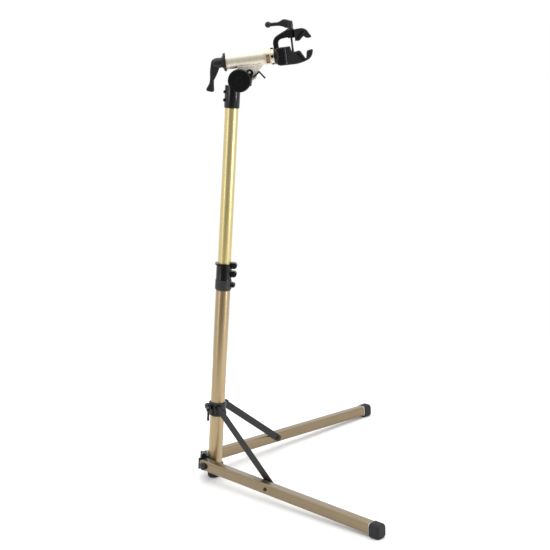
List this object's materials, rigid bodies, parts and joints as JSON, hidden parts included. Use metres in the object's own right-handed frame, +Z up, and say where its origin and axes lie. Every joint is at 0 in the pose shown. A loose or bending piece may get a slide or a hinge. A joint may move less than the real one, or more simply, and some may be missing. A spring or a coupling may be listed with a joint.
{
  "type": "bicycle repair stand",
  "caption": "Folding repair stand: leaning telescopic column on splayed legs with braces, and a tilting arm that ends in a crank-closed jaw clamp.",
  "frame": {"origin": "middle of the column foot's underside, on the floor", "axes": "+Z up, +X forward, the way the legs open and the clamp reaches; +Y is the stand's left, and the legs mirror each other about the XZ plane"},
  "size_m": [0.5586, 1.0654, 1.3895],
  "materials": {
    "tan_tube": "satin anodised",
    "gold_tube": "satin anodised",
    "bronze_tube": "satin anodised",
    "champagne_metal": "brushed anodised",
    "rubber": "matt",
    "grey_ring": "matt",
    "black_casting": "satin black powder coat",
    "black_nylon": "fine-grained matt",
    "black_steel": "satin black",
    "bright_steel": "brushed",
    "dull_steel": "zinc plated, dull",
    "brown_band": "matt"
  },
  "bodies": {
    "column": {"column_foot": "rubber", "lower_tube": "tan_tube", "base_bracket": "black_casting", "leg_pivot_left": "black_steel", "leg_pivot_right": "black_steel", "mid_ring": "black_casting", "mid_ring_screw": "black_steel"},
    "leg_left": {"leg_left": "bronze_tube", "foot_ring_left": "grey_ring", "foot_cap_left": "rubber", "brace_bolt_left": "black_steel"},
    "leg_right": {"leg_right": "bronze_tube", "foot_ring_right": "grey_ring", "foot_cap_right": "rubber", "brace_bolt_right": "black_steel"},
    "collar": {"slide_collar": "black_casting", "collar_bolt": "dull_steel", "lug_pin_left": "black_steel", "lug_pin_right": "black_steel"},
    "collar_lever": {"collar_lever": "black_nylon"},
    "brace_left": {"brace_left": "black_steel", "brace_rivet_left": "black_steel"},
    "brace_right": {"brace_right": "black_steel", "brace_rivet_right": "black_steel"},
    "sleeve": {"mid_sleeve": "black_casting", "sleeve_screw_upper": "black_steel", "sleeve_screw_lower": "black_steel"},
    "mast": {"upper_tube": "gold_tube", "head_casting": "black_casting", "head_screw_lower": "black_steel", "head_screw_upper": "black_steel", "tilt_pin": "black_steel"},
    "arm": {"tilt_disc": "black_casting", "index_plate_left": "black_casting", "index_plate_right": "black_casting", "index_screw_left": "bright_steel", "index_screw_right": "bright_steel", "arm_saddle": "champagne_metal", "arm_sleeve": "champagne_metal", "rear_flange": "black_casting", "slot_ring": "champagne_metal", "friction_band": "brown_band"},
    "tilt_lever": {"tilt_lever": "black_steel"},
    "rear_handle": {"rear_handle": "black_nylon"},
    "clamp": {"arm_shaft": "bright_steel", "front_ring": "champagne_metal", "front_screw_top": "black_steel", "front_screw_side": "black_steel", "front_screw_bottom": "black_steel", "clamp_body": "black_casting", "clamp_arm": "black_casting", "upper_jaw": "black_nylon", "jaw_guide": "dull_steel"},
    "jaw": {"lower_jaw": "black_nylon"},
    "crank": {"spindle": "black_steel", "crank": "black_nylon", "crank_knob": "black_nylon"}
  },
  "joints": [
    {"name": "leg_left_fold", "type": "hinge", "parent": "column", "child": "leg_left", "pos_m": [-0.01312, 0.03995, 0.05299], "axis": [0.6769, -0.7314, -0.0831], "range_deg": [0, 60.45]},
    {"name": "leg_right_fold", "type": "hinge", "parent": "column", "child": "leg_right", "pos_m": [-0.01312, -0.03995, 0.05299], "axis": [-0.6769, -0.7314, 0.0831], "range_deg": [0, 60.45]},
    {"name": "collar_slide", "type": "slide", "parent": "column", "child": "collar", "axis": [0.1219, 0, 0.9925], "range_m": [0, 0.3405]},
    {"name": "brace_left_swing", "type": "hinge", "parent": "collar", "child": "brace_left", "pos_m": [0.04353, 0.04897, 0.22437], "axis": [0.6769, -0.7314, -0.0831], "range_deg": [-37.24, 0]},
    {"name": "brace_right_swing", "type": "hinge", "parent": "collar", "child": "brace_right", "pos_m": [0.04353, -0.04897, 0.22437], "axis": [-0.6769, -0.7314, 0.0831], "range_deg": [-37.24, 0]},
    {"name": "collar_lever_open", "type": "hinge", "parent": "collar", "child": "collar_lever", "pos_m": [0.0019, -0.02709, 0.2325], "axis": [0.9709, 0.2079, -0.1192], "range_deg": [-150, 0]},
    {"name": "column_swivel", "type": "hinge", "parent": "column", "child": "sleeve", "pos_m": [0.07739, 0, 0.63027], "axis": [0.1219, 0, 0.9925], "continuous": true},
    {"name": "height_slide", "type": "slide", "parent": "sleeve", "child": "mast", "axis": [0.1219, 0, 0.9925], "range_m": [-0.4, 0.08]},
    {"name": "head_tilt", "type": "hinge", "parent": "mast", "child": "arm", "pos_m": [0.16974, 0, 1.22243], "axis": [0, 1, 0], "range_deg": [-20, 55]},
    {"name": "tilt_lever_press", "type": "hinge", "parent": "arm", "child": "tilt_lever", "pos_m": [0.21119, -0.0125, 1.22991], "axis": [0, 1, 0], "range_deg": [-25, 20]},
    {"name": "rear_handle_turn", "type": "hinge", "parent": "arm", "child": "rear_handle", "pos_m": [0.10723, 0, 1.27682], "axis": [0.9982, 0, 0.0593], "range_deg": [-90, 90]},
    {"name": "clamp_turn", "type": "hinge", "parent": "arm", "child": "clamp", "pos_m": [0.26694, 0, 1.28631], "axis": [0.9982, 0, 0.0593], "continuous": true},
    {"name": "crank_turn", "type": "hinge", "parent": "clamp", "child": "crank", "pos_m": [0.32659, 0, 1.37], "axis": [-0.0593, 0, 0.9982], "range_deg": [-991, 361]},
    {"name": "jaw_slide", "type": "slide", "parent": "clamp", "child": "jaw", "axis": [-0.0593, 0, 0.9982], "range_m": [-0.008, 0.022]}
  ],
  "couplings": [
    {"joint": "leg_right_fold", "follows": "leg_left_fold", "ratio": 1},
    {"joint": "collar_slide", "follows": "leg_left_fold", "m_per_rad": 0.32226},
    {"joint": "brace_left_swing", "follows": "leg_left_fold", "ratio": -0.61447},
    {"joint": "brace_right_swing", "follows": "leg_left_fold", "ratio": -0.61447},
    {"joint": "crank_turn", "follows": "jaw_slide", "rad_per_m": -785.4}
  ]
}
